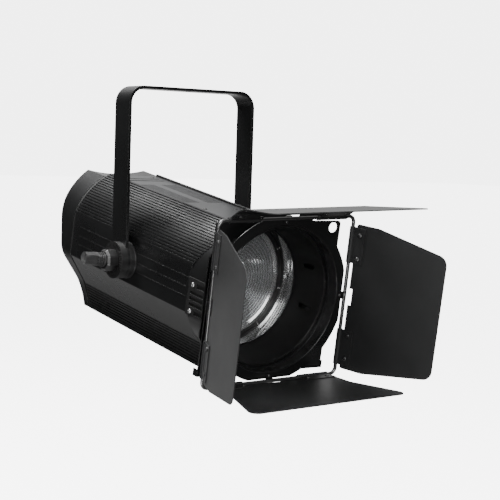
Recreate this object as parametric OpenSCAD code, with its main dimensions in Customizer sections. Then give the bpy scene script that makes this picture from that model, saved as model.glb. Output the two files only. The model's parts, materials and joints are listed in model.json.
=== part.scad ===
/* [Yoke] */
// Outside width across the yoke's legs
yoke_w = 260; // [256:1:270]
// Height of the yoke's top face above the tilt axis
yoke_drop = 295; // [285:1:340]
// Width of the yoke strap
strap_w = 45; // [36:1:56]
// Thickness of the yoke strap
strap_t = 5; // [4:0.5:6]
// Outside radius of the yoke's two bends
bend_r = 30; // [20:1:40]
// Diameter of the clamp bolt hole in the middle of the top bar
clamp_hole_d = 13; // [10:0.5:14]
// Diameter of the pivot discs
disc_d = 62.5; // [56:0.5:66]
/* [Pose] */
// How far the beam points below level
rest_tilt = 9.7; // [0:0.1:30]
// How far the barn door is turned on its ring
door_turn = 1.6; // [-5:0.1:5]
// Opening angle of the top leaf's clamped strip from straight ahead
top_open = 38; // [25:0.1:60]
// Opening angle of the bottom leaf from straight ahead
bottom_open = -5.5; // [-8:0.1:60]
// Opening angle of the left and right leaves from straight ahead
side_open = 20.3; // [0:0.1:60]
/* [Body] */
// Width across the body's flat sides
body_w = 228; // [224:1:228]
// Thickness of the side panels
wall = 3; // [2.5:0.1:3.2]
// Number of ribs on each shoulder
rib_count = 18; // [10:1:22]
// Number of ribs on each lower skirt
skirt_ribs = 9; // [5:1:11]
// Number of louvre slots in each row on the top deck
louvres = 25; // [10:1:25]
/* [Front] */
// Width of the square barn-door plate
plate_w = 250; // [248:1:252]
// Diameter of the clear opening in the barn door
opening_d = 240; // [236:1:242]
// Distance from the middle of the barn door to the rods
rod_half = 134.5; // [133:0.5:137]
// Diameter of the rods
rod_d = 6.2; // [5:0.1:6.4]
// Diameter of the Fresnel lens
lens_d = 200; // [196:1:202]
/* [Hidden] */
$fn = 96;
black = "#1b1b1d";
dark = "#2b2c2f";
grey = "#66686b";
steel = "#b9bcc0";
brass = "#b08d3c";
clear = "#d8e4ea";
// Optical axis above the tilt axis
optic_w = 2;
// Body outline: deck lip, flat belt, waist and foot, as distances across and up
lip = [50.5, 113];
belt_top = 42;
belt_bottom = -38;
waist = [80, -87];
foot = [63, -139];
shoulder_r = 145;
skirt_r = 155;
rib_depth = 1.7;
rib_fill = 0.56;
deck_u = 47.7;
deck_top = 109.2;
deck_t = 2.2;
deck_front = -189.5;
panel_front = -246;
// Places along the beam, from front to rear
rod_v = -284;
ring_face = -279;
plate_front = -260;
// Lip that the base plate's four clips hold the turning ring by
lip_r = 124.7;
plate_t = 2;
flange_front = -252;
flange_t = 2.5;
flange_r = 140;
body_front = -190;
body_rear = 186.5;
seal_t = 6;
cap_v = 231;
cap_lean = 10.2;
// Curve where the ribbed panels meet the smooth front housing, seen from the side
brow_c = [-306, 6];
brow_r = 116;
drum_r = 118.3;
barrel_front_r = 115.5;
barrel_rear_r = 103.8;
barrel_t = 0.8;
tube_r = 103;
tube_t = 1.2;
tube_rear = -30;
lens_v = -148;
carriage_v = lens_v - 2;
screw_w = -118;
rail_u = 32;
fan_v = 106;
fan_w = 2;
fan_side = 120;
vent_screw_w = [11.3, -32];
// Tilt pivots
leg_out = yoke_w / 2;
leg_in = leg_out - strap_t;
disc_out = 141;
stud_r = 6;
stud_bore = 6.1;
// Leaves
sheet_t = 1.5;
leaf_near = 8.2;
clamp_t = 1.25;
clamp_from = 57;
clamp_to = 117;
clamp_reach = 25;
leaf_screw_s = [65, 105];
leaf_screw_r = 16;
knuckle_r = 4.7;
rod_bore = rod_d / 2 + 0.1;

function polar(c, r, a) = [c[0] + r * cos(a), c[1] + r * sin(a)];
function unit(p) = p / norm(p);
function arc_centre(p, q, r) =
    let (m = (p + q) / 2, h = norm(q - p) / 2, n = unit([q[1] - p[1], p[0] - q[0]]))
    m + n * sqrt(r * r - h * h);
function angle_of(c, p) = atan2(p[1] - c[1], p[0] - c[0]);
function arc(c, r, from, to, n) = [for (i = [0 : n]) polar(c, r, from + (to - from) * i / n)];
// A corner at q between p and s, rounded to radius r
function corner(p, q, s, r) =
    let (a = unit(p - q), b = unit(s - q), half = acos(a * b) / 2,
        c = q + unit(a + b) * r / sin(half), t = r / tan(half),
        from = angle_of(c, q + a * t), turn = angle_of(c, q + b * t) - from,
        sweep = turn > 180 ? turn - 360 : (turn < -180 ? turn + 360 : turn))
    arc(c, r, from, from + sweep, 8);
// An outline from points that are each [x, y, corner radius]
function rounded(points) =
    let (n = len(points), xy = [for (p = points) [p[0], p[1]]])
    [for (i = [0 : n - 1])
        each points[i][2] > 0 ? corner(xy[(i + n - 1) % n], xy[i], xy[(i + 1) % n], points[i][2]) : [xy[i]]];
function mirrored(points) = [for (i = [len(points) - 1 : -1 : 0]) [-points[i][0], points[i][1]]];

belt = [body_w / 2, belt_top];
shoulder_c = arc_centre(lip, belt, shoulder_r);
skirt_c = arc_centre(foot, waist, skirt_r);
lip_a = angle_of(shoulder_c, lip);
belt_a = angle_of(shoulder_c, belt);
waist_a = (angle_of(skirt_c, waist) + 360) % 360;
foot_a = (angle_of(skirt_c, foot) + 360) % 360;
crease = [body_w / 2, belt_bottom];
cap_upper_r = 80;
cap_lower_r = 50;
upper_a = acos((body_w / 2 - shoulder_c[0] - cap_upper_r) / (shoulder_r - cap_upper_r));
lower_a = atan2(crease[0] - waist[0], crease[1] - waist[1]);
// Ribs cut into an arc: two points at full radius, two at the groove's floor
function ribs(c, r, depth, from, to, n) =
    let (pitch = (to - from) / n)
    [for (i = [0 : n - 1]) let (a = from + pitch * i)
        each [polar(c, r, a), polar(c, r, a + pitch * rib_fill),
            polar(c, r - depth, a + pitch * rib_fill), polar(c, r - depth, a + pitch)]];
// Where the shoulder, set in by t, passes a given height
function shoulder_at(t, top) =
    [shoulder_c[0] + sqrt(pow(shoulder_r - t, 2) - pow(top - shoulder_c[1], 2)), top];
function shoulder_below(t, top, to) =
    concat([shoulder_at(t, top)], [for (p = arc(shoulder_c, shoulder_r - t, lip_a, to, 14)) if (p[1] < top - 0.5) p]);
function skirt(t) = concat(arc(skirt_c, skirt_r + t, waist_a, foot_a, 8), [[foot[0] - t, foot[1] + t]]);
// Right half of the body's outline below a flat top, set in by t
function half_outline(t, top) =
    concat(shoulder_below(t, top, belt_a), [[body_w / 2 - t, belt_bottom + t * 0.32]], skirt(t));
function full_outline(t, top) = concat(half_outline(t, top), mirrored(half_outline(t, top)));
// The rear cap's outline is the body's with its two side corners rounded off
upper_c = polar(shoulder_c, shoulder_r - cap_upper_r, upper_a);
lower_c = [body_w / 2 - cap_lower_r, belt_bottom + cap_lower_r * tan(lower_a / 2)];
function half_cap(t, top) = concat(
    shoulder_below(t, top, upper_a), arc(upper_c, cap_upper_r - t, upper_a, 0, 6),
    arc(lower_c, cap_lower_r - t, 0, -lower_a, 8), skirt(t));
function cap_outline(t, top) = concat(half_cap(t, top), mirrored(half_cap(t, top)));

module head_frame() translate([0, 0, -yoke_drop]) rotate([rest_tilt, 0, 0]) children();
module optic_frame() head_frame() translate([0, 0, optic_w]) children();
module door_frame() optic_frame() rotate([0, -door_turn, 0]) children();
module rear_frame() head_frame() translate([0, cap_v, 0]) rotate([-cap_lean, 0, 0]) children();
module leaf_frame(turn, open)
    door_frame() rotate([0, turn, 0]) translate([0, rod_v, rod_half]) rotate([-open, 0, 0]) children();
// A flat shape across and up, pushed from one place along the beam to another
module along_v(from, to)
    translate([0, to, 0]) rotate([90, 0, 0]) linear_extrude(to - from) children();
// A flat shape seen from the side, pushed sideways
module along_u(from, to)
    translate([from, 0, 0]) rotate([90, 0, 90]) linear_extrude(to - from) children();
module left_and_right() {
    children();
    mirror([1, 0, 0]) children();
}

module yoke_leg() translate([leg_in, 0, -yoke_drop]) difference() {
    union() {
        translate([0, -strap_w / 2, 0]) cube([strap_t, strap_w, yoke_drop - bend_r]);
        rotate([0, 90, 0]) cylinder(d = disc_d, h = strap_t);
    }
    translate([-1, 0, 0]) rotate([0, 90, 0]) cylinder(r = stud_bore, h = strap_t + 2);
}
module yoke_bend() translate([leg_out - bend_r, strap_w / 2, -bend_r]) rotate([90, 0, 0])
    rotate_extrude(angle = 90) translate([bend_r - strap_t, 0]) square([strap_t, strap_w]);
module yoke_bracket() color(black) {
    difference() {
        translate([bend_r - leg_out, -strap_w / 2, -strap_t]) cube([yoke_w - 2 * bend_r, strap_w, strap_t]);
        translate([0, 0, -strap_t - 1]) cylinder(d = clamp_hole_d, h = strap_t + 2);
    }
    left_and_right() {
        yoke_leg();
        yoke_bend();
    }
}
module lock_disc() difference() {
    along_u(leg_out, disc_out) circle(d = disc_d);
    along_u(leg_out - 1, disc_out + 1) circle(r = stud_bore);
    // Teeth on the outer face
    along_u(disc_out - 1.3, disc_out + 1) for (i = [0 : 35])
        rotate(i * 10) translate([19.6, -0.9]) square([disc_d / 2 - 22, 1.8]);
}
module lock_discs() color(black) translate([0, 0, -yoke_drop]) left_and_right() lock_disc();
module pivot_cap() color(dark) translate([0, 0, -yoke_drop]) difference() {
    union() {
        along_u(disc_out, disc_out + 4) circle(d = 37);
        along_u(disc_out + 4, disc_out + 11) circle(d = 24, $fn = 6);
    }
    along_u(disc_out - 1, disc_out + 8.5) circle(r = stud_bore);
}
function octagon(d) = rounded([for (i = [0 : 7]) [d / 2 * cos(22.5 + 45 * i), d / 2 * sin(22.5 + 45 * i), 5]]);
module knob_hub() color(grey) translate([0, 0, -yoke_drop]) difference() {
    union() {
        along_u(-157, -disc_out - 0.3) polygon(octagon(39));
        translate([-157, 0, 0]) rotate([0, -90, 0]) linear_extrude(3.5, scale = 0.8) polygon(octagon(39));
    }
    along_u(-154, -disc_out) circle(r = stud_bore);
}
// The grip tapers and rises a little away from the hub
module knob_grip() color(grey) translate([-160.5, 0, -yoke_drop]) intersection() {
    rotate([0, 5.5, 0]) difference() {
        translate([3, 0, 1]) rotate([0, -90, 0]) cylinder(d1 = 25, d2 = 20.4, h = 40.5);
        for (x = [-4, -7.5, -11]) translate([x, 0, 1]) rotate([0, -90, 0]) difference() {
            cylinder(d = 30, h = 1.4);
            translate([0, 0, -1]) cylinder(d = 21.4, h = 4);
        }
        for (side = [-1, 1]) translate([-34, side * 14.4 - 5, -4.6]) cube([19, 10, 11.2]);
    }
    translate([-50, -20, -20]) cube([50, 40, 40]);
}
module pivot_drums() color(dark) head_frame() left_and_right() difference() {
    union() {
        along_u(body_w / 2, leg_in - 0.3) circle(d = disc_d);
        along_u(body_w / 2, body_w / 2 + 1.6) circle(d = disc_d + 2.4);
    }
    along_u(body_w / 2 - 1, leg_in) circle(r = stud_r);
}
module pivot_studs() color(steel) head_frame() left_and_right() {
    along_u(body_w / 2 - wall - 5, body_w / 2 - wall) circle(d = 22, $fn = 6);
    along_u(body_w / 2 - wall, disc_out + 7.5) circle(r = stud_r - 0.05);
}

function panel_outline() = concat(
    [[40, 106.9], [47.9, 106.9], [47.9, 111.7], [49, lip[1]]],
    ribs(shoulder_c, shoulder_r, rib_depth, lip_a, belt_a + 1, rib_count),
    [polar(shoulder_c, shoulder_r, belt_a + 1), belt, crease],
    ribs(skirt_c, skirt_r, -rib_depth, waist_a + 1, foot_a - 0.2, skirt_ribs),
    [foot, [50, foot[1]], [50, foot[1] + 2.5], [foot[0] - wall, foot[1] + 2.5]],
    arc(skirt_c, skirt_r + wall, foot_a - 1, waist_a, 8),
    [[body_w / 2 - wall, belt_bottom + wall * 0.32]],
    arc(shoulder_c, shoulder_r - wall, belt_a, lip_a, 14),
    [[49, 104.4], [40, 104.4]]);
// The space ahead of the panels, seen from the side: straight below, an arc over the shoulder
module brow(gap) {
    translate(brow_c) circle(r = brow_r - gap, $fn = 192);
    translate([brow_c[0], -200]) square([body_front - brow_c[0] - gap, 200 + brow_c[1]]);
}
module side_panel() {
    difference() {
        along_v(panel_front, body_rear) polygon(panel_outline());
        along_u(-1, 200) brow(0);
        along_u(100, 130) circle(r = stud_r);
        optic_frame_shift() barrel_cone(barrel_t + 2.6);
    }
    // Three thin beads along the flat side
    for (line_w = [-14, 1.5, 18]) difference() {
        translate([body_w / 2 - 0.5, body_front, line_w]) cube([1, body_rear - 22 - body_front, 0.9]);
        along_u(100, 130) circle(d = disc_d + 3.4);
    }
}
module right_side_panel() color(black) head_frame() side_panel();
module left_side_panel() color(black) head_frame() mirror([1, 0, 0]) side_panel();
module top_deck() color(dark) head_frame() difference() {
    translate([-deck_u, deck_front, deck_top - deck_t]) cube([2 * deck_u, body_rear - deck_front, deck_t]);
    for (u = [-39, 8], i = [0 : louvres - 1]) translate([u, 102 - i * 6, 100]) cube([31, 2.4, 20]);
    for (v = [141, 158]) translate([-37, v - 2.5, 100]) cube([74, 5, 20]);
    for (u = [-31, 31], v = [-93, 172]) translate([u, v, 100]) cylinder(r = 2, h = 20);
}
module bottom_panel() color(dark) head_frame() difference() {
    translate([2 - foot[0] + wall / 2, body_front, foot[1] + 2.5])
        cube([2 * (foot[0] - wall / 2 - 2), body_rear - body_front, 2]);
    for (i = [0 : 11]) translate([-30, 40 + i * 10, foot[1]]) cube([60, 4, 10]);
}
module across_top(half_w, from_w) translate([-half_w, -300, from_w]) cube([2 * half_w, 300, 100]);
module front_housing() color(dark) head_frame() difference() {
    union() {
        intersection() {
            optic_frame_shift() along_v(flange_front + flange_t, body_front) circle(r = drum_r, $fn = 192);
            along_u(-200, 200) brow(0.3);
            translate([-200, -300, -200]) cube([400, 300, 200 + 106.6]);
        }
        optic_frame_shift() along_v(flange_front + flange_t, panel_front - 0.3) circle(r = drum_r, $fn = 192);
        // Roof of the drum, between the two side panels
        intersection() {
            optic_frame_shift() barrel_cone(barrel_t + 2.3);
            across_top(47.5, 90);
            along_v(flange_front + flange_t, body_front) square(400, center = true);
        }
        intersection() {
            along_v(body_front - 4, body_front - 0.3) polygon(full_outline(0, 106));
            translate([-200, -300, -200]) cube([400, 300, 200 + brow_c[1]]);
        }
    }
    optic_frame_shift() barrel_cone(barrel_t + 0.3);
    intersection() {
        optic_frame_shift() along_v(panel_front - 0.3, body_front - 4) circle(r = drum_r - 2.3);
        difference() {
            translate([-200, -300, -200]) cube([400, 300, 400]);
            across_top(47.5, 90);
        }
    }
    left_and_right() vent_space(0.2);
    for (u = [-rail_u, 0, rail_u]) translate([u, 0, screw_w]) along_v(-200, -180) circle(r = 4.2);
}
module front_flange() color(dark) head_frame() difference() {
    optic_frame_shift() along_v(flange_front, flange_front + flange_t) intersection() {
        plate_outline(8);
        circle(r = flange_r);
    }
    optic_frame_shift() barrel_cone(barrel_t + 0.3);
    // Window for each vent block, no wider than the block
    left_and_right() intersection() {
        vent_space(0.2);
        translate([0, -300, -200]) cube([body_w / 2 + 4.2, 300, 400]);
    }
}
module optic_frame_shift() translate([0, 0, optic_w]) children();
module plate_outline(r) polygon(rounded([for (c = [[1, 1], [-1, 1], [-1, -1], [1, -1]])
    [c[0] * plate_w / 2, c[1] * plate_w / 2, r]]));
// The barrel's inner cone, grown by t
module barrel_cone(t) translate([0, body_front + 2, 0]) rotate([90, 0, 0])
    cylinder(r1 = barrel_rear_r + t, r2 = barrel_front_r + t, h = body_front + 2 - flange_front, $fn = 192);
module barrel() color(black) optic_frame() {
    difference() {
        barrel_cone(barrel_t);
        barrel_cone(0);
        for (a = [-17, 20, 160, 197]) rotate([0, -a, 0]) translate([100, 0, 0]) along_u(0, 30) {
            translate([-212, 0]) circle(r = 4);
            translate([-230, 0]) circle(r = 4);
            translate([-230, -4]) square([18, 8]);
        }
    }
    along_v(body_front + 2, body_front + 3.2) difference() {
        circle(r = barrel_rear_r + barrel_t - 1);
        circle(r = tube_r - 1.4);
    }
}
module vent_space(gap) translate([body_w / 2 - 3, flange_front - gap, -39 - gap])
    cube([20, body_front - 6 - flange_front + 2 * gap, 61 + 2 * gap]);
// Slots, each with its middle height, its height, and its rear end
vent_slots = [[11.3, 7.6, -219], [-1.7, 5.6, -203], [-11.2, 5.6, -203], [-20.7, 5.6, -203], [-32.6, 6.8, -219]];
module vent_block() difference() {
    intersection() {
        vent_space(0);
        along_u(body_w / 2 - 3, body_w / 2 + 4) translate([-300, -200]) square([200, 400]);
    }
    optic_frame_shift() barrel_cone(barrel_t + 0.3);
    for (slot = vent_slots) translate([body_w / 2 + 0.6, -247, slot[0] - slot[1] / 2])
        cube([20, slot[2] + 247, slot[1]]);
    for (w = vent_screw_w) translate([0, -208, w]) along_u(110, 130) circle(r = 1.6);
}
module vent_blocks() color(black) head_frame() left_and_right() vent_block();
module pan_screw(head_r, shank_r, head_h, length) {
    cylinder(r = head_r, h = head_h);
    translate([0, 0, -length]) cylinder(r = shank_r, h = length);
}
module body_screws() color(steel) head_frame() {
    left_and_right() for (w = vent_screw_w)
        translate([body_w / 2 + 4, -208, w]) rotate([0, 90, 0]) pan_screw(3.8, 1.6, 2, 5.5);
    for (u = [-31, 31], v = [-93, 172]) translate([u, v, deck_top]) pan_screw(3.5, 2, 1.4, 5);
}
module rear_seal() color(black) head_frame() along_v(body_rear, body_rear + seal_t) difference() {
    polygon(cap_outline(0.8, 106.5));
    polygon(cap_outline(6, 100));
}
module rear_cap() color(black) head_frame() difference() {
    along_v(body_rear + seal_t, 270) difference() {
        polygon(cap_outline(0, 107));
        polygon(cap_outline(wall, 97.5));
    }
    // Shallow scoop between the two top corners
    translate([0, 0, 100.5 + 280]) along_v(body_rear, 280) circle(r = 280, $fn = 256);
    translate([0, cap_v, 0]) rotate([-cap_lean, 0, 0]) translate([-200, 0, -200]) cube([400, 100, 400]);
}
module on_rear(u, z, y) translate([0, cap_v, 0]) rotate([-cap_lean, 0, 0]) translate([u, y, z]) rotate([-90, 0, 0])
    children();
module rear_panel() color(dark) head_frame() difference() {
    intersection() {
        along_v(body_rear + seal_t, 270) polygon(cap_outline(wall + 0.6, 97));
        translate([0, cap_v, 0]) rotate([-cap_lean, 0, 0]) translate([-200, -9, -200]) cube([400, 2.5, 400]);
    }
    on_rear(0, 15, -20) cylinder(r = 3.1, h = 30);
    on_rear(0, -75, -20) cylinder(r = 13.1, h = 30);
    for (u = [-32, 32]) on_rear(u, -25, -20) cylinder(r = 12.1, h = 30);
    for (u = [-78, 62], i = [0 : 7]) translate([0, cap_v, 0]) rotate([-cap_lean, 0, 0])
        translate([u, -20, 40 - i * 9]) cube([16, 30, 4]);
}
module display_window() color(clear) rear_frame() translate([-32, -6.5, 38]) cube([64, 1.6, 30]);
module menu_knob() color(dark) head_frame() on_rear(0, 15, 0) difference() {
    union() {
        translate([0, 0, -6.2]) cylinder(r = 11, h = 10);
        translate([0, 0, -15]) cylinder(r = 3, h = 10);
    }
    for (i = [0 : 17]) rotate(i * 20) translate([10.4, -0.6, -5]) cube([2, 1.2, 12]);
}
module square_flange() translate([-13, -15.5, -6.5]) cube([26, 31, 1.6]);
module power_inlet() color(dark) head_frame() on_rear(0, -75, 0) {
    difference() {
        union() {
            square_flange();
            translate([0, 0, -30]) cylinder(r = 13, h = 27);
        }
        translate([0, 0, -20]) cylinder(r = 10.5, h = 30);
    }
}
module data_sockets() color(grey) head_frame() for (u = [-32, 32]) on_rear(u, -25, 0) {
    difference() {
        union() {
            square_flange();
            translate([0, 0, -26]) cylinder(r = 12, h = 23);
        }
        translate([0, 0, -18]) cylinder(r = 9.5, h = 30);
    }
}
module safety_eye() color(steel) rear_frame() difference() {
    union() {
        translate([-10, -6.5, -122]) cube([20, 2, 22]);
        translate([-2, -6.5, -121]) cube([4, 14.5, 20]);
        translate([0, 8, -111]) along_u(-2, 2) circle(r = 10);
    }
    translate([0, 8, -111]) along_u(-3, 3) circle(r = 6);
}
// The barn door drops into a channel below and is held by a turning latch above
holder_v = plate_front - 2;
holder_l = flange_front + flange_t - holder_v;
latch_u = 60;
module accessory_holder() color(dark) optic_frame() {
    translate([-plate_w / 2 - 1.5, holder_v, -plate_w / 2 - 1.5]) cube([plate_w + 3, holder_l, 1.5]);
    left_and_right() {
        translate([50, holder_v, -plate_w / 2 - 1.5]) cube([14, 1.7, 7.5]);
        translate([plate_w / 2, holder_v, -plate_w / 2 - 1.5]) cube([1.5, holder_l, 12]);
    }
    translate([latch_u - 6, flange_front, plate_w / 2]) cube([12, flange_t, 8]);
    translate([latch_u, 0, plate_w / 2 + 3.6]) along_v(-264, flange_front) circle(r = 2);
}
module plate_latch() color(dark) optic_frame() along_v(plate_front - 2.3, plate_front - 0.3) difference() {
    union() {
        translate([latch_u, plate_w / 2 + 3.6]) circle(r = 4.4);
        translate([latch_u - 3.5, plate_w / 2 - 6]) square([7, 9.6]);
    }
    translate([latch_u, plate_w / 2 + 3.6]) circle(r = 2.1);
}
module door_plate() color(black) optic_frame() {
    along_v(plate_front, plate_front + plate_t) difference() {
        plate_outline(6);
        circle(d = opening_d + 2, $fn = 192);
        translate([110, 113.5]) circle(d = 17);
    }
    // Collar that closes the gap behind the plate
    along_v(plate_front, flange_front - 0.3) difference() {
        circle(r = 122, $fn = 192);
        circle(r = 119.5, $fn = 192);
    }
    for (a = [45 : 90 : 315]) rotate([0, a, 0]) {
        translate([-10, plate_front - 4, 127.8]) cube([20, 4, 2.2]);
        translate([-10, plate_front - 4, lip_r - 2]) cube([20, 1.4, 6]);
    }
}

module lens_tube() color(steel) optic_frame() difference() {
    along_v(body_front + 3.2, tube_rear) difference() {
        circle(r = tube_r + tube_t, $fn = 192);
        circle(r = tube_r, $fn = 192);
    }
    translate([-11, -182, -130]) cube([22, 148, 60]);
}
module bulkhead() color(grey) head_frame() along_v(tube_rear, tube_rear + 3) difference() {
    polygon(full_outline(wall + 0.6, 104));
    translate([-100, foot[1] - 5]) square([200, 10]);
    translate([0, optic_w]) circle(r = 50);
    translate([0, screw_w]) circle(r = 5);
    for (u = [-rail_u, rail_u]) translate([u, screw_w]) circle(r = 4);
}
module guide_rods() color(steel) head_frame() for (u = [-rail_u, rail_u])
    translate([u, 0, screw_w]) along_v(body_front - 4, tube_rear + 3) circle(r = 4);
module zoom_motor() color(dark) head_frame() translate([0, 0, screw_w]) difference() {
    union() {
        along_v(tube_rear + 3, 14) polygon(rounded([[16, 16, 4], [-16, 16, 4], [-16, -16, 4], [16, -16, 4]]));
        along_v(14, 22) circle(r = 8);
    }
    along_v(-40, -8) circle(r = 4.1);
}
module lead_screw() color(steel) head_frame() translate([0, 0, screw_w]) {
    along_v(body_front - 3, -10) circle(r = 4);
}
module lens_carriage() color(dark) optic_frame() difference() {
    union() {
        along_v(carriage_v, lens_v + 12) circle(r = tube_r - 0.4, $fn = 192);
        translate([-9.5, carriage_v, screw_w + 8 - optic_w]) cube([19, 14, 14]);
        translate([-44, carriage_v, screw_w - 12 - optic_w]) cube([88, 14, 25]);
    }
    along_v(carriage_v - 1, lens_v + 13) circle(r = 97.5, $fn = 192);
    along_v(carriage_v - 1, lens_v + 5.3) circle(r = lens_d / 2 + 0.2, $fn = 192);
    for (u = [-rail_u, rail_u]) translate([u, 0, screw_w - optic_w]) along_v(-200, 0) circle(r = 4.1);
    translate([0, 0, screw_w - optic_w]) along_v(-200, 0) circle(r = 4.1);
    for (a = [20 : 40 : 340]) rotate([0, a, 0]) translate([0, 0, 101.2]) along_v(carriage_v - 1, carriage_v + 6) circle(r = 0.8);
}
// Stepped lens: each ring rises towards the middle and drops back at its outer edge
lens_rings = 17;
ring_pitch = 5.2;
function tooth(i) = let (r = 6 + i * ring_pitch) [[r, 1.2 + 0.09 * i], [r + ring_pitch - 0.4, 0]];
module fresnel_lens() color(clear) optic_frame() translate([0, lens_v + 0.1, 0]) rotate([90, 0, 0])
    rotate_extrude($fn = 128) polygon(concat(
        [[0, -5], [0, 1.6], [5.6, 0.9]],
        [for (i = [0 : lens_rings - 2]) each tooth(i)],
        [[lens_d / 2 - 5, 0], [lens_d / 2, 0], [lens_d / 2, -5]]));
module lens_ring() color(black) optic_frame() along_v(carriage_v - 1.4, carriage_v) difference() {
    circle(r = tube_r - 0.5, $fn = 192);
    circle(r = 97, $fn = 192);
    for (a = [20 : 40 : 340]) rotate(-a) translate([0, 101.2]) circle(r = 0.8);
}
module lens_ring_screws() color(steel) optic_frame() for (a = [20 : 40 : 340])
    rotate([0, a, 0]) translate([0, carriage_v - 1.4, 101.2]) rotate([90, 0, 0]) pan_screw(1.25, 0.75, 1.1, 5);
module led_board() color(clear) optic_frame() along_v(20, 22) circle(r = 45);
module collimator() color(clear) optic_frame() translate([0, 20, 0]) rotate([90, 0, 0]) difference() {
    cylinder(r1 = 24, r2 = 46, h = 44);
    translate([0, 0, -1]) cylinder(r1 = 21.5, r2 = 44.5, h = 46);
}
module heat_sink() color(steel) optic_frame() {
    translate([-80, 22, -75]) cube([160, 12, 155]);
    for (i = [0 : 12]) translate([-80 + i * 13.1, 33, -75]) cube([2.8, 67, 155]);
}
module fan_frame() color(black) translate_fan() {
    along_v(fan_v, fan_v + 25) difference() {
        polygon(rounded([for (c = [[1, 1], [-1, 1], [-1, -1], [1, -1]])
            [c[0] * fan_side / 2, c[1] * fan_side / 2, 6]]));
        circle(r = 57.5);
    }
    along_v(fan_v + 22.5, fan_v + 25) {
        circle(r = 21);
        for (a = [30, 150, 270]) rotate(a) translate([18, -2]) square([41, 4]);
    }
    along_v(fan_v + 8, fan_v + 23) circle(r = 2);
}
module translate_fan() head_frame() translate([0, 0, fan_w]) children();
module fan_rotor() color(dark) translate_fan() difference() {
    union() {
        along_v(fan_v + 2, fan_v + 21) circle(r = 20);
        for (i = [0 : 6]) rotate([0, i * 360 / 7, 0]) translate([0, fan_v + 11.5, 0]) rotate([0, 0, 38])
            translate([-10, -1, 18]) cube([20, 2, 37]);
    }
    along_v(fan_v + 1, fan_v + 22) circle(r = 2.1);
}
module fan_guard() color(steel) translate_fan() along_v(fan_v + 25, fan_v + 27) {
    for (r = [12 : 12 : 60]) difference() {
        circle(r = r);
        circle(r = r - 1.8);
    }
    for (a = [45 : 90 : 315]) rotate(a) translate([10, -1]) square([64, 2]);
}
module power_supply() color(steel) head_frame() translate([-50, 26, -133]) cube([100, 130, 34]);
module control_board() color("#2f5d3a") head_frame() {
    translate([-55, 200, 20]) cube([110, 1.6, 60]);
    translate([-20, 195, 35]) cube([40, 5, 30]);
}

module door_ring() color(black) door_frame() {
    along_v(ring_face, ring_face + 1.5) difference() {
        intersection() {
            circle(r = 138.5, $fn = 192);
            square(264, center = true);
        }
        circle(d = opening_d, $fn = 192);
        for (a = [0 : 90 : 270]) rotate(a) translate([0, 127.8]) circle(r = 1.5);
    }
    along_v(ring_face + 1.5, plate_front - 0.3) difference() {
        circle(d = opening_d + 3, $fn = 192);
        circle(d = opening_d, $fn = 192);
    }
    along_v(plate_front - 2.2, plate_front - 0.3) difference() {
        circle(r = lip_r, $fn = 192);
        circle(d = opening_d + 2, $fn = 192);
    }
    translate([0, ring_face, 0]) rotate([90, 0, 0]) rotate_extrude($fn = 128)
        translate([opening_d / 2 + 1.3, 0]) circle(r = 1.3, $fn = 24);
}
rod_corner = 11;
module rod_loop() color(grey) door_frame() for (a = [0 : 90 : 270]) rotate([0, a, 0]) translate([0, rod_v, 0]) {
    translate([0, 0, rod_half]) rotate([0, 90, 0]) cylinder(d = rod_d, h = 2 * (rod_half - rod_corner), center = true);
    translate([rod_half - rod_corner, 0, rod_half - rod_corner]) rotate([90, 0, 0])
        rotate_extrude(angle = 90) translate([rod_corner, 0]) circle(d = rod_d, $fn = 48);
}
module rod_saddles() color(black) door_frame() for (a = [0 : 90 : 270]) rotate([0, a, 0]) difference() {
    union() {
        translate([-6, rod_v - 0.5, 131]) cube([12, ring_face - rod_v + 0.5, 7.5]);
        translate([-6, ring_face - 1.2, 124.5]) cube([12, 1.2, 8]);
    }
    along_u(-9, 9) translate([rod_v, rod_half]) circle(d = rod_d + 0.1);
    translate([0, 0, 127.8]) along_v(-300, -270) circle(r = 1.5);
}
module saddle_screws() color(steel) door_frame() for (a = [0 : 90 : 270]) rotate([0, a, 0])
    translate([0, ring_face - 1.2, 127.8]) rotate([90, 0, 0]) pan_screw(2.6, 1.5, 1.6, 4);

// Leaves lie flat here: x along the rod, -y away from it
module leaf_outline(near_w, near_r, far_w, far_r, corner_r) difference() {
    polygon(rounded([[near_w, -leaf_near, 4], [near_w, -near_r, 10], [far_w, -far_r, corner_r],
        [-far_w, -far_r, corner_r], [-near_w, -near_r, 10], [-near_w, -leaf_near, 4]]));
    translate([-14, -14]) square([28, 14]);
    for (s = leaf_screw_s, side = [-1, 1]) translate([s * side, -leaf_screw_r]) circle(r = 2);
}
module flat_sheet() color(black) translate([0, 0, -sheet_t / 2]) linear_extrude(sheet_t) children();
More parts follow.
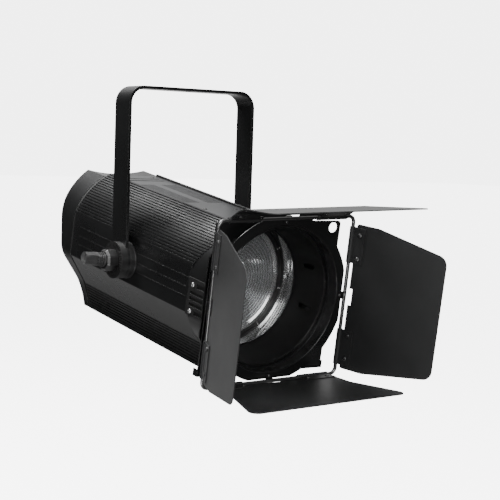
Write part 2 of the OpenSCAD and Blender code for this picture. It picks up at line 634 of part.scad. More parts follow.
// Side view of the top leaf, which bends down a little beyond its clamps
fold_from = 28;
fold_r = 45;
fold = 28;
beyond_fold = 130;
function folded(z) =
    let (end = [-fold_from - (fold_r + z) * sin(fold), (fold_r + z) * cos(fold) - fold_r])
    concat([[0, z]],
        [for (i = [0 : 12]) let (a = fold * i / 12)
            [-fold_from - (fold_r + z) * sin(a), (fold_r + z) * cos(a) - fold_r]],
        [end - beyond_fold * [cos(fold), sin(fold)]]);
function reversed(points) = [for (i = [len(points) - 1 : -1 : 0]) points[i]];
module folded_sheet() color(black) intersection() {
    translate([0, 0, -100]) linear_extrude(120) children();
    along_u(-170, 170) polygon(concat(folded(sheet_t / 2), reversed(folded(-sheet_t / 2))));
}
module leaf_clamps() color(dark) left_and_right() difference() {
    along_u(clamp_from, clamp_to) difference() {
        union() {
            circle(r = knuckle_r);
            translate([-clamp_reach, -sheet_t / 2 - clamp_t]) square([clamp_reach, sheet_t + 2 * clamp_t]);
        }
        circle(r = rod_bore);
        translate([-clamp_reach - 1, -sheet_t / 2]) square([clamp_reach + 1 - leaf_near, sheet_t]);
    }
    for (s = leaf_screw_s) translate([s, -leaf_screw_r, -10]) cylinder(r = 2, h = 20);
}
module leaf_screws() color(steel) left_and_right() for (s = leaf_screw_s) translate([s, -leaf_screw_r, 0]) {
    mirror([0, 0, 1]) translate([0, 0, sheet_t / 2 + clamp_t]) pan_screw(3.4, 2, 1.8, 4);
    translate([0, 0, sheet_t / 2 + clamp_t]) cylinder(r = 3.4, h = 1.8, $fn = 6);
}
module side_sheet() flat_sheet() leaf_outline(123, 49, 100.5, 175, 17);
module top_leaf() leaf_frame(0, top_open) folded_sheet() leaf_outline(119, 57, 156.5, 153, 12);
module bottom_leaf() leaf_frame(180, bottom_open) flat_sheet() leaf_outline(119, 60, 156, 162, 13);
module left_leaf() leaf_frame(-90, side_open) side_sheet();
module right_leaf() leaf_frame(90, side_open) side_sheet();
module top_leaf_clamps() leaf_frame(0, top_open) leaf_clamps();
module top_leaf_screws() leaf_frame(0, top_open) leaf_screws();
module bottom_leaf_clamps() leaf_frame(180, bottom_open) leaf_clamps();
module bottom_leaf_screws() leaf_frame(180, bottom_open) leaf_screws();
module left_leaf_clamps() leaf_frame(-90, side_open) leaf_clamps();
module left_leaf_screws() leaf_frame(-90, side_open) leaf_screws();
module right_leaf_clamps() leaf_frame(90, side_open) leaf_clamps();
module right_leaf_screws() leaf_frame(90, side_open) leaf_screws();

yoke_bracket();
lock_discs();
pivot_cap();
knob_hub();
knob_grip();
pivot_drums();
pivot_studs();
left_side_panel();
right_side_panel();
top_deck();
bottom_panel();
front_housing();
front_flange();
vent_blocks();
body_screws();
rear_seal();
rear_cap();
rear_panel();
display_window();
menu_knob();
power_inlet();
data_sockets();
safety_eye();
accessory_holder();
plate_latch();
door_plate();
barrel();
lens_tube();
bulkhead();
guide_rods();
zoom_motor();
lead_screw();
lens_carriage();
fresnel_lens();
lens_ring();
lens_ring_screws();
led_board();
collimator();
heat_sink();
fan_frame();
fan_rotor();
fan_guard();
power_supply();
control_board();
door_ring();
rod_loop();
rod_saddles();
saddle_screws();
top_leaf();
bottom_leaf();
left_leaf();
right_leaf();
top_leaf_clamps();
bottom_leaf_clamps();
left_leaf_clamps();
right_leaf_clamps();
top_leaf_screws();
bottom_leaf_screws();
left_leaf_screws();
right_leaf_screws();
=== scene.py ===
import json
import math

import bmesh
import bpy
from mathutils import Matrix, Quaternion, Vector


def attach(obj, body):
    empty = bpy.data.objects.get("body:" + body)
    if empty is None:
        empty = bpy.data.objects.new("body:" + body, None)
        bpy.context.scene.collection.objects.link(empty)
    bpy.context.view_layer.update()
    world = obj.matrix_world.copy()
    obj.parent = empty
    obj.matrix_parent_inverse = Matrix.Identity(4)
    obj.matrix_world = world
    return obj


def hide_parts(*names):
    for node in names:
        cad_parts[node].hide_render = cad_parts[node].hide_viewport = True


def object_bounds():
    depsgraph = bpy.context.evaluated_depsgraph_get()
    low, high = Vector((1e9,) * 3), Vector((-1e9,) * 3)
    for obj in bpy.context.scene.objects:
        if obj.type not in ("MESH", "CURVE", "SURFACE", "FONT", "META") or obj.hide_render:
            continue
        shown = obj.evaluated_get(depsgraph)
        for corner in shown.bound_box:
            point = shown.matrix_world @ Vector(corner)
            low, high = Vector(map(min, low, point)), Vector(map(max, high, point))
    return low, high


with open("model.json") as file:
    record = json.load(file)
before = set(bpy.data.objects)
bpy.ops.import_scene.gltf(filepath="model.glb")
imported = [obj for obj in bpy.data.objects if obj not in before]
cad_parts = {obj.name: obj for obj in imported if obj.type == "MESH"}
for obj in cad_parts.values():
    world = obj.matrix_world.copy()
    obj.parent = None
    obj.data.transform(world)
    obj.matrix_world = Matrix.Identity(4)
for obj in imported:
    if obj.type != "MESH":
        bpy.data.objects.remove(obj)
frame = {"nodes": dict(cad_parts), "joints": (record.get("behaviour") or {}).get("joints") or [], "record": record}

CAD_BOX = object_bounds()
NODES = frame["nodes"]
JOINTS = {joint["name"]: joint for joint in frame["joints"]}
BODY_OF = {node: body for body, nodes in frame["record"]["behaviour"]["bodies"].items() for node in nodes}
SLOT_OF = {part["node"]: part["material_slot"] for part in frame["record"]["subparts"]}
MM = 0.001

TILT_AXIS = Vector(JOINTS["head_tilt"]["pos_m"])
BEAM = Vector(JOINTS["door_ring_turn"]["axis"])
HEAD_TILT = math.atan2(BEAM.z, BEAM.y)
# Head axes: x across, y towards the back along the beam, z up
HEAD = Matrix.Translation(TILT_AXIS) @ Matrix.Rotation(HEAD_TILT, 4, "X")


# ---------------------------------------------------------------- camera, floor and light

def make_camera():
    azimuth, elevation, roll = math.radians(-36.72), math.radians(3.83), math.radians(1.82)
    back = Vector((math.sin(azimuth) * math.cos(elevation), -math.cos(azimuth) * math.cos(elevation),
                   math.sin(elevation)))
    data = bpy.data.cameras.new("camera")
    data.lens = 104.0
    data.sensor_width = 36.0
    data.dof.use_dof = False
    data.clip_end = 50
    camera = bpy.data.objects.new("camera", data)
    bpy.context.scene.collection.objects.link(camera)
    camera.location = TILT_AXIS + Vector((-1.411, -2.089, 0.187))
    camera.rotation_mode = "QUATERNION"
    camera.rotation_quaternion = (-back).to_track_quat("-Z", "Y") @ Quaternion((0, 0, 1), roll)
    bpy.context.scene.camera = camera


def area_light(name, place, target, size, power):
    data = bpy.data.lights.new(name, "AREA")
    data.shape = "RECTANGLE"
    data.size, data.size_y = size
    data.energy = power
    lamp = bpy.data.objects.new(name, data)
    bpy.context.scene.collection.objects.link(lamp)
    lamp.location = Vector(place)
    lamp.rotation_mode = "QUATERNION"
    lamp.rotation_quaternion = (Vector(target) - Vector(place)).to_track_quat("-Z", "Y")


# Strength of the backdrop and floor as the camera sees them
BRIGHT = 5.0
# Strength of the studio's dark walls
WALLS = 0.05
# Direction of the bright backdrop, straight behind the object as the camera sees it
BACKDROP = Vector((0.60, 0.80, 0.08)).normalized()
# Each softbox: place from the tilt axis, width and height, power in watts
SOFTBOXES = {
    "overhead": ((-0.7, 0.7, 2.2), (1.4, 0.9), 150),
    "left_side": ((-2.6, -1.0, 0.5), (1.2, 1.4), 26),
    "front": ((-0.75, -2.2, 0.6), (1.2, 1.2), 40),
    "low_left": ((-1.8, -1.3, -1.5), (1.4, 1.0), 60),
}
FLOOR_BELOW = 0.35
FLOOR_HALF = 30.0


def make_world():
    """A studio: bright backdrop and ceiling, dark walls on both sides and behind the camera."""
    world = bpy.data.worlds.new("studio")
    bpy.context.scene.world = world
    world.use_nodes = True
    nodes, links = world.node_tree.nodes, world.node_tree.links

    def node(kind, inputs, **settings):
        made = nodes.new(kind)
        for key, value in settings.items():
            setattr(made, key, value)
        for key, value in inputs.items():
            if isinstance(value, bpy.types.NodeSocket):
                links.new(value, made.inputs[key])
            else:
                made.inputs[key].default_value = value
        return made

    def ramp(value, low, high, most):
        inputs = {"Value": value, "From Min": low, "From Max": high, "To Min": 0.0, "To Max": most}
        return node("ShaderNodeMapRange", inputs, interpolation_type="SMOOTHSTEP").outputs["Result"]

    direction = nodes.new("ShaderNodeTexCoord").outputs["Generated"]
    facing = node("ShaderNodeVectorMath", {0: direction, 1: BACKDROP}, operation="DOT_PRODUCT")
    up = node("ShaderNodeSeparateXYZ", {"Vector": direction}).outputs["Z"]
    studio = ramp(facing.outputs["Value"], 0.60, 0.90, 1.0)
    ceiling, below = ramp(up, 0.45, 0.85, 0.9), ramp(up, -0.15, -0.75, 0.5)
    for other in (ceiling, below, WALLS):
        studio = node("ShaderNodeMath", {0: studio, 1: other}, operation="MAXIMUM").outputs[0]
    seen = nodes.new("ShaderNodeLightPath").outputs["Is Camera Ray"]
    lit, white = nodes["Background"], nodes.new("ShaderNodeBackground")
    for background in (lit, white):
        background.inputs["Color"].default_value = (1, 1, 1, 1)
    links.new(studio, lit.inputs["Strength"])
    white.inputs["Strength"].default_value = BRIGHT
    mix = node("ShaderNodeMixShader", {0: seen, 1: lit.outputs[0], 2: white.outputs[0]})
    links.new(mix.outputs[0], nodes["World Output"].inputs["Surface"])


def make_stage():
    make_world()
    mesh = bpy.data.meshes.new("floor")
    half, z = FLOOR_HALF, CAD_BOX[0].z - FLOOR_BELOW
    around = [(-half, -half, z), (half, -half, z), (half, half, z), (-half, half, z)]
    mesh.from_pydata(around, [], [(0, 1, 2, 3)])
    floor = bpy.data.objects.new("floor", mesh)
    bpy.context.scene.collection.objects.link(floor)
    material = bpy.data.materials.new("floor")
    material.use_nodes = True
    shader = material.node_tree.nodes["Principled BSDF"]
    for socket, value in (("Base Color", (0.88, 0.88, 0.88, 1)), ("Roughness", 0.9),
                          ("Specular IOR Level", 0.2), ("Emission Color", (1, 1, 1, 1)),
                          ("Emission Strength", BRIGHT)):
        shader.inputs[socket].default_value = value
    mesh.materials.append(material)
    # The floor is seen, but does not light the black paint from below
    floor.visible_diffuse = floor.visible_glossy = floor.visible_transmission = False
    for name, (place, size, power) in SOFTBOXES.items():
        area_light(name, TILT_AXIS + Vector(place), TILT_AXIS, size, power)


make_camera()
make_stage()


# ---------------------------------------------------------------- materials

class Tree:
    """A small wrapper that adds and links shader nodes."""

    def __init__(self, name):
        self.material = bpy.data.materials.new(name)
        self.material.use_nodes = True
        self.nodes = self.material.node_tree.nodes
        self.links = self.material.node_tree.links
        self.shader = self.nodes["Principled BSDF"]
        self.place = self.nodes.new("ShaderNodeTexCoord").outputs["Object"]

    def add(self, kind, inputs=None, **settings):
        node = self.nodes.new(kind)
        for key, value in settings.items():
            setattr(node, key, value)
        for key, value in (inputs or {}).items():
            if isinstance(value, bpy.types.NodeSocket):
                self.links.new(value, node.inputs[key])
            else:
                node.inputs[key].default_value = value
        return node

    def noise(self, scale, detail=3.0, rough=0.5, place=None):
        node = self.add("ShaderNodeTexNoise", {"Vector": place or self.place, "Scale": scale, "Detail": detail,
                                               "Roughness": rough})
        return node.outputs["Fac"]

    def remap(self, value, low, high, to_low, to_high):
        node = self.add("ShaderNodeMapRange", {"Value": value, "From Min": low, "From Max": high,
                                               "To Min": to_low, "To Max": to_high})
        return node.outputs["Result"]

    def mix(self, factor, a, b):
        node = self.add("ShaderNodeMix", data_type="RGBA")
        for key, value in (("Factor", factor), ("A", a), ("B", b)):
            socket = [s for s in node.inputs if s.name == key and (s.type == "RGBA") == (key != "Factor")][0]
            if isinstance(value, bpy.types.NodeSocket):
                self.links.new(value, socket)
            else:
                socket.default_value = value
        return [s for s in node.outputs if s.type == "RGBA"][0]

    def math(self, operation, a, b):
        node = self.add("ShaderNodeMath", {0: a, 1: b}, operation=operation)
        return node.outputs[0]

    def edges(self, radius):
        """About 1 along sharp edges and 0 on flat ground."""
        bevel = self.add("ShaderNodeBevel", {"Radius": radius}, samples=4)
        geometry = self.add("ShaderNodeNewGeometry")
        dot = self.add("ShaderNodeVectorMath", {0: bevel.outputs[0], 1: geometry.outputs["Normal"]},
                       operation="DOT_PRODUCT")
        return self.remap(dot.outputs["Value"], 0.995, 0.80, 0.0, 1.0)

    def bump(self, height, distance, strength=1.0, normal=None):
        inputs = {"Height": height, "Distance": distance, "Strength": strength}
        if normal:
            inputs["Normal"] = normal
        return self.add("ShaderNodeBump", inputs).outputs["Normal"]

    def set(self, **values):
        for key, value in values.items():
            socket = self.shader.inputs[key.replace("_", " ")]
            if isinstance(value, bpy.types.NodeSocket):
                self.links.new(value, socket)
            else:
                socket.default_value = value


def grey(value, warm=0.0):
    return (value * (1 + warm), value, value * (1 - warm), 1)


def powder_coat(name, level, rough, grain=0.00002, wear_and_highlight=0.35):
    """Black stove enamel: fine orange peel, cloudy gloss, edges rubbed a little lighter, which also serves as a
    painted highlight along the edges.
    """
    tree = Tree(name)
    cloud = tree.noise(9, 4)
    speck = tree.noise(900, 2)
    base = tree.mix(tree.remap(cloud, 0.3, 0.7, 0, 1), grey(level * 0.82, -0.02), grey(level * 1.2, -0.03))
    # Edges mixed towards a lighter grey: partly rubbed wear, partly a painted highlight along every sharp edge.
    edge = tree.math("MULTIPLY", tree.edges(0.0007), tree.remap(tree.noise(60, 5), 0.35, 0.75, 0.1, 1.0))
    tree.set(Base_Color=tree.mix(tree.math("MULTIPLY", edge, wear_and_highlight), base, grey(level * 5 + 0.05)))
    gloss = tree.math("ADD", tree.remap(cloud, 0.3, 0.7, rough - 0.04, rough + 0.05),
                      tree.remap(speck, 0.3, 0.7, -0.015, 0.015))
    tree.set(Roughness=gloss, Specular_IOR_Level=0.5,
             Normal=tree.bump(tree.noise(1500, 2, 0.6), grain, 0.25))
    return tree.material


def plastic(name, level, rough):
    """Moulded plastic with a fine spark-eroded grain."""
    tree = Tree(name)
    cloud = tree.noise(14, 3)
    base = tree.mix(tree.remap(cloud, 0.3, 0.7, 0, 1), grey(level * 0.85), grey(level * 1.15))
    edge = tree.math("MULTIPLY", tree.edges(0.0006), tree.remap(tree.noise(80, 4), 0.4, 0.7, 0.1, 0.8))
    tree.set(Base_Color=tree.mix(tree.math("MULTIPLY", edge, 0.3), base, grey(level * 3 + 0.04)))
    tree.set(Roughness=tree.remap(tree.noise(300, 3), 0.3, 0.7, rough - 0.05, rough + 0.06),
             Normal=tree.bump(tree.noise(2600, 2), 0.00004, 0.6))
    return tree.material


def metal(name, level, rough, stretch=(1, 1, 1), scratch=0.00002):
    """Bare metal with fine scratches, drawn out along one axis."""
    tree = Tree(name)
    scale = tree.add("ShaderNodeMapping", {"Vector": tree.place, "Scale": stretch}).outputs["Vector"]
    cloud = tree.noise(12, 4)
    lines = tree.noise(700, 4, 0.6, scale)
    tree.set(Base_Color=tree.mix(tree.remap(cloud, 0.3, 0.7, 0, 1), grey(level * 0.86), grey(level)),
             Roughness=tree.remap(lines, 0.3, 0.7, rough - 0.05, rough + 0.08),
             Metallic=1.0, Normal=tree.bump(lines, scratch, 0.25))
    return tree.material


def lens_glass(name):
    """Pressed glass whose stepped side scatters the light, so its rings show."""
    tree = Tree(name)
    tree.set(Base_Color=tree.mix(tree.remap(tree.noise(8, 2), 0.3, 0.7, 0, 1), (0.58, 0.59, 0.60, 1),
                                 (0.68, 0.69, 0.69, 1)),
             Roughness=tree.remap(tree.noise(60, 2), 0.3, 0.7, 0.09, 0.14))
    tree.set(IOR=1.5, Transmission_Weight=0.5, Metallic=0.5)
    return tree.material


def knurled(name, level, rough, pitch=2.6 * MM, radius=13 * MM):
    """Satin metal cut with crossed diagonal grooves around the tilt axis, the grooves darkened with painted shade.
    """
    tree = Tree(name)
    apart = tree.add("ShaderNodeSeparateXYZ", {"Vector": tree.place})
    z = tree.math("SUBTRACT", apart.outputs["Z"], TILT_AXIS.z)
    y = tree.math("SUBTRACT", apart.outputs["Y"], TILT_AXIS.y)
    around = tree.math("MULTIPLY", tree.math("ARCTAN2", z, y), radius)
    waves = []
    for way in ("ADD", "SUBTRACT"):
        along = tree.math(way, apart.outputs["X"], around)
        wave = tree.math("SINE", tree.math("MULTIPLY", along, math.pi / pitch), 0)
        waves.append(tree.math("ABSOLUTE", wave, 0))
    height = tree.math("MINIMUM", waves[0], waves[1])
    # Groove bottoms painted darker than the crests: painted shade in the recesses of the knurl.
    tree.set(Base_Color=tree.mix(tree.remap(height, 0.0, 0.5, 0, 1), grey(level * 0.25), grey(level)),
             Roughness=tree.remap(tree.noise(300, 3), 0.3, 0.7, rough - 0.05, rough + 0.06), Metallic=0.6,
             Normal=tree.bump(height, 0.0005, 0.9))
    return tree.material


def glossy(name, colour, rough, spread=0.15):
    tree = Tree(name)
    dark = tuple(c * (1 - spread) for c in colour[:3]) + (1,)
    tree.set(Base_Color=tree.mix(tree.remap(tree.noise(30, 3), 0.3, 0.7, 0, 1), dark, tuple(colour[:3]) + (1,)),
             Roughness=tree.remap(tree.noise(200, 3), 0.3, 0.7, rough - 0.03, rough + 0.05),
             Normal=tree.bump(tree.noise(900, 2), 0.00002, 0.4))
    return tree.material


MATERIALS = {
    "black_paint": powder_coat("black_paint", 0.006, 0.30),
    "ribbed_black": powder_coat("ribbed_black", 0.006, 0.28),
    # deck_paint is black_paint made five times lighter: painted light for the top deck, standing in for its
    # reflection of the bright ceiling.
    "deck_paint": powder_coat("deck_paint", 0.03, 0.40),
    # leaf_paint is black_paint made lighter so the leaves read brighter: painted light on the leaves.
    "leaf_paint": powder_coat("leaf_paint", 0.014, 0.46, 0.00003, 0.5),
    "matt_black": powder_coat("matt_black", 0.005, 0.5),
    "black_plastic": plastic("black_plastic", 0.012, 0.4),
    "grey_metal": metal("grey_metal", 0.09, 0.34),
    "bright_steel": metal("bright_steel", 0.62, 0.25),
    "dark_steel": metal("dark_steel", 0.14, 0.34),
    "polished_tube": metal("polished_tube", 0.62, 0.07, (1, 0.05, 1), 0.000008),
    "bare_aluminium": metal("bare_aluminium", 0.6, 0.35),
    "seal_rubber": plastic("seal_rubber", 0.004, 0.7),
    "lens_glass": lens_glass("lens_glass"),
    "clear_plastic": glossy("clear_plastic", (0.8, 0.82, 0.84), 0.12),
    "led_yellow": glossy("led_yellow", (0.8, 0.68, 0.18), 0.4),
    "screen": glossy("screen", (0.02, 0.03, 0.05), 0.08),
    "green_board": glossy("green_board", (0.03, 0.16, 0.06), 0.35),
}


# ---------------------------------------------------------------- measuring the frame

def islands(node):
    """The separate solids of a node, each as a list of its corners."""
    bm = bmesh.new()
    bm.from_mesh(NODES[node].data)
    bmesh.ops.remove_doubles(bm, verts=bm.verts, dist=1e-6)
    left, found = set(bm.verts), []
    while left:
        stack, part = [next(iter(left))], []
        left.discard(stack[0])
        while stack:
            vert = stack.pop()
            part.append(vert.co.copy())
            for edge in vert.link_edges:
                other = edge.other_vert(vert)
                if other in left:
                    left.discard(other)
                    stack.append(other)
        found.append(part)
    bm.free()
    return sorted(found, key=lambda part: tuple(round(c, 4) for c in middle_of(part)))


def middle_of(points):
    lo = [min(p[i] for p in points) for i in range(3)]
    hi = [max(p[i] for p in points) for i in range(3)]
    return (Vector(lo) + Vector(hi)) / 2


def span(points, origin, axis):
    """Lowest and highest distance of the points from origin, measured along axis."""
    axis = Vector(axis).normalized()
    along = [(Vector(p) - origin).dot(axis) for p in points]
    return min(along), max(along)


def corners(node):
    return [vertex.co for vertex in NODES[node].data.vertices]


def in_frame(points, matrix):
    """Lowest and highest corner of the points as seen in another frame."""
    inverse = matrix.inverted()
    seen = [inverse @ Vector(p) for p in points]
    return (Vector([min(p[i] for p in seen) for i in range(3)]),
            Vector([max(p[i] for p in seen) for i in range(3)]))


def frame_of(origin, x, y):
    """A frame whose first two axes are x and y."""
    x, y = Vector(x).normalized(), Vector(y).normalized()
    matrix = Matrix((x, y, x.cross(y))).transposed().to_4x4()
    matrix.translation = origin
    return matrix


# ---------------------------------------------------------------- building blocks

def lathe(profile, steps, matrix=None):
    """A surface turned about z from points that are each (radius, height)."""
    bm = bmesh.new()
    rings = []
    for radius, height in profile:
        count = 1 if radius < 1e-7 else steps
        rings.append([bm.verts.new((radius * math.cos(2 * math.pi * i / steps),
                                    radius * math.sin(2 * math.pi * i / steps), height)) for i in range(count)])
    for a, b in zip(rings, rings[1:]):
        for i in range(steps):
            j = (i + 1) % steps
            quad = list(dict.fromkeys([a[i % len(a)], a[j % len(a)], b[j % len(b)], b[i % len(b)]]))
            if len(quad) > 2:
                bm.faces.new(quad)
    bmesh.ops.recalc_face_normals(bm, faces=bm.faces)
    if matrix:
        bmesh.ops.transform(bm, matrix=matrix, verts=bm.verts)
    return bm


def prism(outline, low, high):
    """A flat outline pushed from one height to another."""
    bm = bmesh.new()
    base = bm.faces.new([bm.verts.new((x, y, low)) for x, y in outline])
    top = bmesh.ops.extrude_face_region(bm, geom=[base])["geom"]
    bmesh.ops.translate(bm, verts=[g for g in top if isinstance(g, bmesh.types.BMVert)], vec=(0, 0, high - low))
    bmesh.ops.recalc_face_normals(bm, faces=bm.faces)
    return bm


def join(parts):
    """One mesh from several, each emptied into it."""
    whole = bmesh.new()
    for part in parts:
        mesh = bpy.data.meshes.new("part")
        part.to_mesh(mesh)
        part.free()
        whole.from_mesh(mesh)
        bpy.data.meshes.remove(mesh)
    return whole


def copies(part, places):
    """The part repeated at each place."""
    mesh = bpy.data.meshes.new("part")
    part.to_mesh(mesh)
    part.free()
    whole = bmesh.new()
    for place in places:
        before = len(whole.verts)
        whole.from_mesh(mesh)
        whole.verts.ensure_lookup_table()
        bmesh.ops.transform(whole, matrix=place, verts=whole.verts[before:])
    bpy.data.meshes.remove(mesh)
    return whole


def cut(part, cutter):
    """The part less the cutter."""
    objects = []
    for bm in (part, cutter):
        mesh = bpy.data.meshes.new("cut")
        bm.to_mesh(mesh)
        bm.free()
        objects.append(bpy.data.objects.new("cut", mesh))
        bpy.context.scene.collection.objects.link(objects[-1])
    modifier = objects[0].modifiers.new("cut", "BOOLEAN")
    modifier.operation = "DIFFERENCE"
    modifier.solver = "EXACT"
    modifier.object = objects[1]
    result = bpy.data.meshes.new_from_object(objects[0].evaluated_get(bpy.context.evaluated_depsgraph_get()))
    bm = bmesh.new()
    bm.from_mesh(result)
    for thing in objects:
        mesh = thing.data
        bpy.data.objects.remove(thing)
        bpy.data.meshes.remove(mesh)
    bpy.data.meshes.remove(result)
    return bm


def finished(name, bm, body, slot, *replaced, smooth):
    smooth_by_angle(bm, smooth)
    mesh = bpy.data.meshes.new(name)
    bm.to_mesh(mesh)
    bm.free()
    return add_piece(name, mesh, body, slot, *replaced)


# ---------------------------------------------------------------- pieces

def add_piece(name, mesh, body, slot, *replaced):
    piece = bpy.data.objects.new(name, mesh)
    bpy.context.scene.collection.objects.link(piece)
    mesh.materials.clear()
    mesh.materials.append(MATERIALS[slot])
    if replaced:
        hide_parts(*replaced)
    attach(piece, body)
    return piece


def smooth_by_angle(bm, degrees):
    limit = math.radians(degrees)
    for face in bm.faces:
        face.smooth = True
    for edge in bm.edges:
        if len(edge.link_faces) == 2:
            edge.smooth = edge.calc_face_angle(0) < limit
        else:
            edge.smooth = False


def add_bevel(piece, width):
    bevel = piece.modifiers.new("bevel", "BEVEL")
    bevel.width = width
    bevel.segments = 2
    bevel.limit_method = "ANGLE"
    bevel.angle_limit = math.radians(SHARP)
    bevel.harden_normals = True


SHARP = 32          # degrees, the least angle of an edge that is rounded


def refined(node, width):
    """The node's own shape with its sharp edges rounded over."""
    bm = bmesh.new()
    bm.from_mesh(NODES[node].data)
    bmesh.ops.remove_doubles(bm, verts=bm.verts, dist=1e-6)
    bmesh.ops.dissolve_limit(bm, angle_limit=math.radians(0.6), verts=bm.verts, edges=bm.edges)
    smooth_by_angle(bm, SHARP)
    mesh = bpy.data.meshes.new(node + "_fine")
    bm.to_mesh(mesh)
    bm.free()
    piece = add_piece(node + "_fine", mesh, BODY_OF[node], SLOT_OF[node], node)
    add_bevel(piece, width)


# ---------------------------------------------------------------- screws

def cross_head(radius, height):
    """A domed pan head, seat at z = 0, with a cross recess."""
    dome = [(radius, 0), (radius, height * 0.35)]
    dome += [(radius * math.cos(a), height * (0.35 + 0.65 * math.sin(a)))
             for a in [math.radians(15 * i) for i in range(1, 6)]]
    head = lathe([(0, 0)] + dome + [(0, height)], 40)
    long, wide = radius * 0.62, radius * 0.15
    cross = [(wide, wide), (long, wide), (long, -wide), (wide, -wide), (wide, -long), (-wide, -long),
             (-wide, -wide), (-long, -wide), (-long, wide), (-wide, wide), (-wide, long), (wide, long)]
    return cut(head, prism(cross, height * 0.35, height * 2))


def hex_nut(radius, height, bore):
    """A nut with turned corners, seat at z = 0, and the screw's end standing in it."""
    outline = [(radius * math.cos(math.radians(60 * i)), radius * math.sin(math.radians(60 * i)))
               for i in range(6)]
    nut = prism(outline, 0, height)
    bmesh.ops.bevel(nut, geom=[e for e in nut.edges if all(v.co.z > height * 0.9 for v in e.verts)],
                    offset=radius * 0.13, segments=2, affect="EDGES")
    end = lathe([(0, height * 0.5), (bore, height * 0.5), (bore, height * 1.0), (bore * 0.8, height * 1.12),
                 (0, height * 1.12)], 24)
    return join([nut, end])


def screws_on_leaf(side):
    """Pan heads on the inner face of a leaf, nuts on the outer face."""
    joint = JOINTS["leaf_%s_hinge" % side]
    origin, along = Vector(joint["pos_m"]), -Vector(joint["axis"])
    ahead = middle_of(corners(side + "_leaf_screws")) - origin
    ahead = (ahead - along * ahead.dot(along)).normalized()
    leaf = frame_of(origin, along, -ahead)
    node = side + "_leaf_screws"
    parts = []
    for solid in islands(node):
        lo, hi = in_frame(solid, leaf)
        centre = (lo + hi) / 2
        sheet_lo, sheet_hi = in_frame(corners(side + "_leaf_clamps"), leaf)
        radius, head = (hi.x - lo.x) / 2, 1.8 * MM
        seat = hi.z - head
        turn = centre.x * 900
        under = Matrix.Translation((centre.x, centre.y, -seat)) @ Matrix.Rotation(math.pi, 4, "X")
        over = Matrix.Translation((centre.x, centre.y, seat))
        parts.append(copies(cross_head(radius, head), [under @ Matrix.Rotation(turn, 4, "Z")]))
        nut = hex_nut(radius, head * 0.86, radius * 0.55)
        parts.append(copies(nut, [over @ Matrix.Rotation(turn, 4, "Z")]))
    bm = join(parts)
    bmesh.ops.transform(bm, matrix=leaf, verts=bm.verts)
    finished(node + "_fine", bm, BODY_OF[node], SLOT_OF[node], node, smooth=30)


def screws_facing(node, outward, head_height, name=None, slot=None, pick=lambda centre: True):
    """Pan heads whose seats face outward(centre) in head axes, one on each picked solid of the node."""
    parts = []
    for i, solid in enumerate(islands(node)):
        lo, hi = in_frame(solid, HEAD)
        if not pick((lo + hi) / 2):
            continue
        facing = Vector(outward((lo + hi) / 2, hi - lo)).normalized()
        across = facing.orthogonal().normalized()
        turned = frame_of((lo + hi) / 2, across, facing.cross(across))
        lo, hi = in_frame([HEAD.inverted() @ p for p in solid], turned)
        place = turned @ Matrix.Translation((0, 0, hi.z - head_height)) @ Matrix.Rotation(0.7 * i, 4, "Z")
        parts.append(copies(cross_head((hi.x - lo.x) / 2, head_height), [HEAD @ place]))
    finished(name or node + "_fine", join(parts), BODY_OF[node], slot or SLOT_OF[node], node, smooth=30)


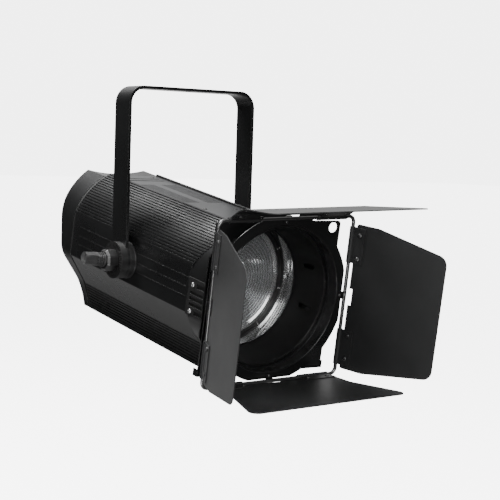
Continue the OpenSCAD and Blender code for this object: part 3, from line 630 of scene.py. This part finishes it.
def make_lens():
    """Each ring's face curves down towards the rim and drops back to the flat."""
    centre = middle_of(corners("fresnel_lens"))
    back, front = span(corners("fresnel_lens"), centre, -BEAM)
    rim = in_frame(corners("fresnel_lens"), HEAD)
    radius = (rim[1].x - rim[0].x) / 2
    flat = front - 2.6 * MM
    pitch, first, rings = 5.2 * MM, 6.0 * MM, 17
    profile = [(0, flat + 2.0 * MM), (first * 0.5, flat + 1.8 * MM), (first - 0.4 * MM, flat + 1.2 * MM)]
    for ring in range(rings - 1):
        inner = first + ring * pitch
        rise = (1.4 + 0.13 * ring) * MM
        profile.append((inner - 0.1 * MM, flat + 0.1 * MM))
        for step in range(6):
            x = step / 5
            profile.append((inner + 0.15 * MM + x * (pitch - 0.5 * MM), flat + rise * (1 - x ** 1.6)))
    edge = radius - 4 * MM
    profile += [(edge, flat), (radius - 0.3 * MM, flat), (radius, flat - 0.3 * MM), (radius, back + 0.3 * MM),
                (radius - 0.3 * MM, back), (0, back)]
    turned = frame_of(centre, Vector((1, 0, 0)), (-BEAM).cross(Vector((1, 0, 0))))
    bm = lathe(profile, 256, turned)
    finished("fresnel_lens_fine", bm, BODY_OF["fresnel_lens"], "lens_glass", "fresnel_lens", smooth=28)


for node, thing in NODES.items():
    thing.data.materials.clear()
    thing.data.materials.append(MATERIALS[SLOT_OF[node]])

# Width of the rounding on each node's sharp edges, in millimetres
ROUNDING = {
    "front_flange": 0.4,
    "yoke_bracket": 0.9, "lock_discs": 0.5, "pivot_cap": 0.6, "knob_hub": 0.8, "knob_grip": 0.4,
    "pivot_drums": 1.0, "left_side_panel": 0.35, "right_side_panel": 0.35, "top_deck": 0.35,
    "bottom_panel": 0.4, "front_housing": 0.5, "vent_blocks": 0.6, "rear_seal": 0.8, "rear_cap": 0.9,
    "rear_panel": 0.5, "display_window": 0.4, "menu_knob": 0.4, "power_inlet": 0.5, "data_sockets": 0.5,
    "safety_eye": 0.5, "accessory_holder": 0.3, "plate_latch": 0.4, "door_plate": 0.4, "barrel": 0.2,
    "lens_ring": 0.4, "lens_carriage": 0.4, "door_ring": 0.3, "rod_saddles": 0.8, "lens_tube": 0.3,
    "top_leaf": 0.35, "bottom_leaf": 0.35, "left_leaf": 0.35, "right_leaf": 0.35,
    "top_leaf_clamps": 0.4, "bottom_leaf_clamps": 0.4, "left_leaf_clamps": 0.4, "right_leaf_clamps": 0.4,
}
for node, width in ROUNDING.items():
    refined(node, width * MM)
bpy.data.objects["knob_grip_fine"].data.materials[0] = knurled("knurled_grip", 0.07, 0.42)
for side in ("top", "bottom", "left", "right"):
    screws_on_leaf(side)
screws_facing("body_screws", lambda c, size: (c.x, 0, 0), 2.0 * MM, "vent_screws_fine",
              pick=lambda c: abs(c.x) > 0.1)
screws_facing("body_screws", lambda c, size: (0, 0, 1), 1.4 * MM, "deck_screws_fine", "dark_steel",
              pick=lambda c: abs(c.x) <= 0.1)
screws_facing("saddle_screws", lambda c, size: (0, -1, 0), 1.6 * MM)
screws_facing("lens_ring_screws", lambda c, size: (0, -1, 0), 1.1 * MM)
make_lens()
